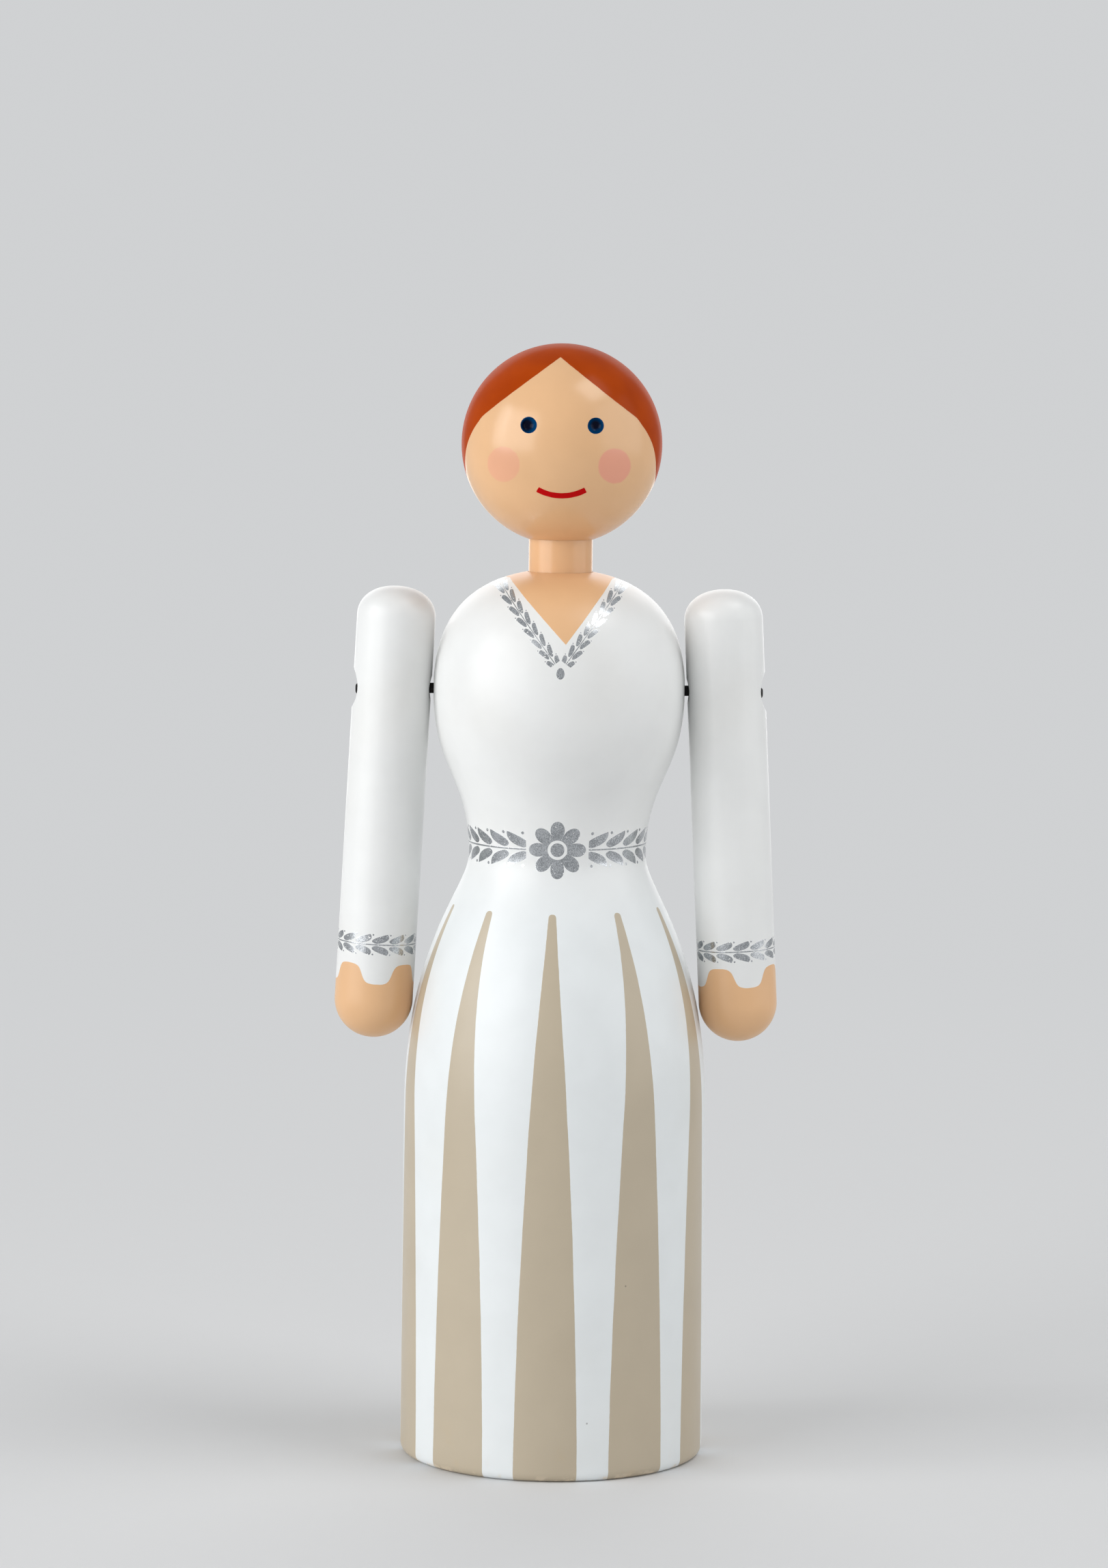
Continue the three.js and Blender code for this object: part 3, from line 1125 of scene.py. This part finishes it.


# Face on the ball head. A cheek is (x, z, strength), a pupil (x, z, radius) from its eye's middle; the
# pupils lie towards the shaded side of their sunk eyes, so their dark is partly painted shade.
FACE_EDGE = 2.0
MOUTH_MIDDLE = 0.1
MOUTH_RADIUS = 7.4
MOUTH_HALF_TURN = math.radians(27.5)
MOUTH_HALF_WIDTH = 0.42
MOUTH_CORNER = 0.16
CHEEKS = ((-8.6, -2.8, 0.55), (7.8, -2.8, 0.95))
CHEEK_RADIUS = 2.6
CHEEK_NARROW = 1.07
PUPILS_AND_SHADE = ((-0.24, -0.04, 0.85), (-0.02, 0.1, 0.7))
EYE_OVERRUN = 0.02


def mouth_mask(spot):
    """One curved stroke with blunt ends."""
    bend_away = length(spot.x, spot.z - MOUTH_MIDDLE)
    bend_turn = spot.x.by("ARCTAN2", MOUTH_MIDDLE - spot.z)
    past_lip = abs(bend_away - MOUTH_RADIUS) - MOUTH_HALF_WIDTH + MOUTH_CORNER
    past_end = (abs(bend_turn) - MOUTH_HALF_TURN) * MOUTH_RADIUS
    return inside(rounded_end(past_lip, past_end, MOUTH_CORNER) + spot.stray * 0.5)


def cheek_mask(spot):
    """Two dabs of blush."""
    dabs = []
    for x, z, strength in CHEEKS:
        gap = length((spot.x - x) * CHEEK_NARROW, spot.z - z)
        dabs.append(inside(gap - CHEEK_RADIUS + spot.stray * 1.5, soft=0.16) * strength)
    return reduce(either, dabs)


def eye_masks(spot):
    """The paint in the sunk eyes, and the dark pupils in it, set towards the shaded side of each hollow
    as painted shade.
    """
    eyes, pupils_and_shade = [], []
    for side, (pupil_shade_x, pupil_shade_z, pupil_shade_radius) in zip((-1, 1), PUPILS_AND_SHADE):
        across, up = spot.x - side * EYE_SPREAD, spot.z - EYE_RISE
        eyes.append(inside(length(across, up) - EYE_RADIUS - EYE_OVERRUN + spot.stray * 0.25))
        pupils_and_shade.append(inside(length(across - pupil_shade_x, up - pupil_shade_z) - pupil_shade_radius, soft=0.3))
    return reduce(either, eyes), reduce(either, pupils_and_shade)


HEAD_BARE_BELOW = -4.0


def head_paint():
    material, surface, spot = start_paint("head_paint", (0.0, 0.0, HEAD_HEIGHT))
    tree = spot.tree
    front = ramp(-spot.y, FACE_EDGE, FACE_EDGE + 1.0)
    hair = hair_mask(spot)
    lips = mouth_mask(spot) * front
    eyes, pupils_and_shade = eye_masks(spot)
    eyes = eyes * front
    streaks = ramp(cloud(tree, spot.place, size=6.0), 0.3, 0.8)
    paint = mix(tree, cheek_mask(spot) * front, SKIN, CHEEK)
    paint = mix(tree, hair, paint, mix(tree, streaks * 0.35, HAIR, HAIR_DEEP))
    paint = mix(tree, lips, paint, LIPS)
    # Each eye's dark patch lies on the shaded side of its hollow as painted shade; the blue left on the
    # lit side is a painted highlight.
    paint = mix(tree, eyes, paint, mix(tree, pupils_and_shade, IRIS_AND_LIT_SIDE, PUPIL_AND_SHADE))
    socket = inside(spot.away - HEAD_SOCKET - 0.06, soft=0.04)
    raw = socket * inside(spot.z - HEAD_BARE_BELOW, soft=0.5)
    brushed = either(either(hair, lips), eyes)
    finish_paint(
        surface,
        spot,
        paint,
        raw=raw,
        varnish=(VARNISH - brushed * VARNISH_MISSING) * (1.0 - raw),
        ridge=(hair + lips) * BRUSHED_LAYER,
    )
    return material


# The neck's paint starts a little inside the body and ends a little inside the head.
NECK_PAINT_FOOT = SEAT_HEIGHT - 0.6
NECK_PAINT_TOP = SEAT_HEIGHT + 5.6


def neck_paint():
    material, surface, spot = start_paint("neck_paint")
    tree, z = spot.tree, spot.z
    raw = 1.0 - ramp(z, NECK_PAINT_FOOT, NECK_PAINT_FOOT + 0.2) * inside(z - NECK_PAINT_TOP, soft=0.1)
    deep = ramp(cloud(tree, spot.place, size=4.0), 0.3, 0.8)
    paint = mix(tree, deep * 0.15, SKIN, SKIN_DEEP)
    finish_paint(surface, spot, paint, raw=raw, varnish=(1.0 - raw) * VARNISH)
    return material


# Braid of the elastic: ribs along it and round it, and how high thread and fuzz stand in millimetres.
BRAID_ALONG = 9.0
BRAID_ROUND = 3.0
RIB_HEIGHT = 0.08
FUZZ_HEIGHT = 0.04


def elastic_look():
    """Black braided elastic: slanting ribs of thread with a dusty bloom."""
    material, surface, spot = start_paint("elastic_look", (0.0, 0.0, CHEST_HEIGHT))
    tree = spot.tree
    along = spot.x * BRAID_ALONG
    twist = spot.z.by("ARCTAN2", spot.y) * BRAID_ROUND
    ribs = abs((along + twist).by("SINE")) * abs((along - twist).by("SINE"))
    fuzz = cloud(tree, spot.place, size=0.12)
    tone = mix(tree, ribs * 0.6 + fuzz * 0.3, THREAD_DARK, THREAD_WORN)
    feed(tree, surface.inputs["Base Color"], tone)
    feed(tree, surface.inputs["Roughness"], between(fuzz, *THREAD_ROUGHNESS))
    raise_surface(tree, surface, ribs * RIB_HEIGHT + fuzz * FUZZ_HEIGHT)
    return material


finish_piece(turn_body(), "painted_body", "figure", "body", body_paint())
finish_piece(turn_neck(), "neck", "figure", "neck_dowel", neck_paint())
finish_piece(turn_head(), "painted_head", "head", "head", head_paint())
for arm, side in (("arm_left", 1), ("arm_right", -1)):
    look = arm_paint(arm + "_paint", side)
    finish_piece(turn_arm(side), "painted_" + arm, arm, arm, look)
finish_piece(
    tie_elastic(), "knotted_elastic", "figure", "shoulder_elastic", elastic_look()
)

# Camera at the photograph's angle, in metres: a long lens a little above the figure, slightly rolled.
CAMERA_AWAY = 0.75
CAMERA_HEIGHT = 0.17235
CAMERA_AIM = 0.10188
CAMERA_SIDE = -0.00062
CAMERA_RISE = 0.00035
CAMERA_ROLL = math.radians(0.643)

lens = bpy.data.cameras.new("camera")
lens.lens = 114.3
lens.sensor_width = 36
lens.clip_start = 0.01
camera = bpy.data.objects.new("camera", lens)
bpy.context.scene.collection.objects.link(camera)
camera.location = (CAMERA_SIDE, -CAMERA_AWAY, CAMERA_HEIGHT + CAMERA_RISE)
sight = Vector((CAMERA_SIDE, 0, CAMERA_AIM + CAMERA_RISE)) - camera.location
level = sight.to_track_quat("-Z", "Y").to_matrix()
camera.rotation_euler = (level @ Matrix.Rotation(CAMERA_ROLL, 3, "Z")).to_euler()
bpy.context.scene.camera = camera


def soft_lamp(name, place, aim_height, size, power):
    """A soft box aimed at the figure's axis, with its place and size in metres and its power in watts."""
    light = bpy.data.lights.new(name, "AREA")
    light.shape = "RECTANGLE"
    light.size, light.size_y = size
    light.energy = power
    lamp = bpy.data.objects.new(name, light)
    lamp.visible_camera = False
    bpy.context.scene.collection.objects.link(lamp)
    lamp.location = place
    aim = Vector((0, 0, aim_height)) - Vector(place)
    lamp.rotation_euler = aim.to_track_quat("-Z", "Y").to_euler()


soft_lamp("window_left", (-0.9, -0.68, 0.42), aim_height=0.09, size=(0.9, 0.9), power=7.9)
soft_lamp("strip_left", (-1.05, -0.22, 0.45), aim_height=0.12, size=(0.28, 0.8), power=2.4)
soft_lamp("fill_right", (1.05, -0.28, 0.4), aim_height=0.09, size=(1.2, 1.2), power=5.3)
soft_lamp("overhead", (0.45, -0.2, 1.0), aim_height=0.1, size=(0.5, 0.4), power=2.2)
soft_lamp("card_behind", (0.0, 1.0, 0.3), aim_height=0.09, size=(1.1, 1.0), power=4.4)

# Backdrop and floor. The backdrop lights the figure by a share of what it shows.
BACKDROP = (0.63, 0.64, 0.65, 1.0)
BACKDROP_LIGHT = 0.54
FLOOR_PALE = (0.70, 0.705, 0.71, 1.0)
FLOOR_SPOT = (0.6, 0.6, 0.6, 1.0)
FLOOR_RADIUS = 6.0
FLOOR_FADE = (0.12, 0.6)


def shows_backdrop(tree):
    """1 for rays that see the backdrop: the camera's own, and those in gloss or through glass."""
    path = tree.nodes.new("ShaderNodeLightPath")
    kinds = ("Is Camera Ray", "Is Glossy Ray", "Is Transmission Ray")
    return reduce(either, [Wire(tree, path.outputs[kind]) for kind in kinds])


world = bpy.data.worlds.new("studio")
bpy.context.scene.world = world
world.use_nodes = True
air = world.node_tree.nodes["Background"]
air.inputs["Color"].default_value = BACKDROP
strength = between(shows_backdrop(world.node_tree), BACKDROP_LIGHT, 1.0)
feed(world.node_tree, air.inputs["Strength"], strength)


def floor_look():
    """Pale matt floor that keeps the shadow near the figure and fades into the backdrop."""
    material = bpy.data.materials.new("floor_look")
    material.use_nodes = True
    tree = material.node_tree
    surface = tree.nodes["Principled BSDF"]
    place = tree.nodes.new("ShaderNodeTexCoord").outputs["Object"]
    x, y, _ = split(tree, place)
    spots = cloud(tree, place, size=0.004)
    feed(tree, surface.inputs["Base Color"], mix(tree, spots * 0.06, FLOOR_PALE, FLOOR_SPOT))
    surface.inputs["Roughness"].default_value = 0.9
    glow = tree.nodes.new("ShaderNodeEmission")
    glow.inputs["Color"].default_value = BACKDROP
    blend = tree.nodes.new("ShaderNodeMixShader")
    feed(tree, blend.inputs[0], ramp(length(x, y), *FLOOR_FADE) * shows_backdrop(tree))
    tree.links.new(surface.outputs[0], blend.inputs[1])
    tree.links.new(glow.outputs[0], blend.inputs[2])
    tree.links.new(blend.outputs[0], tree.nodes["Material Output"].inputs["Surface"])
    return material


ground = bmesh.new()
bmesh.ops.create_circle(ground, cap_ends=True, radius=FLOOR_RADIUS, segments=96)
floor_mesh = bpy.data.meshes.new("floor")
ground.to_mesh(floor_mesh)
ground.free()
floor_mesh.materials.append(floor_look())
floor = bpy.data.objects.new("floor", floor_mesh)
bpy.context.scene.collection.objects.link(floor)

bpy.context.scene.view_settings.view_transform = "Standard"
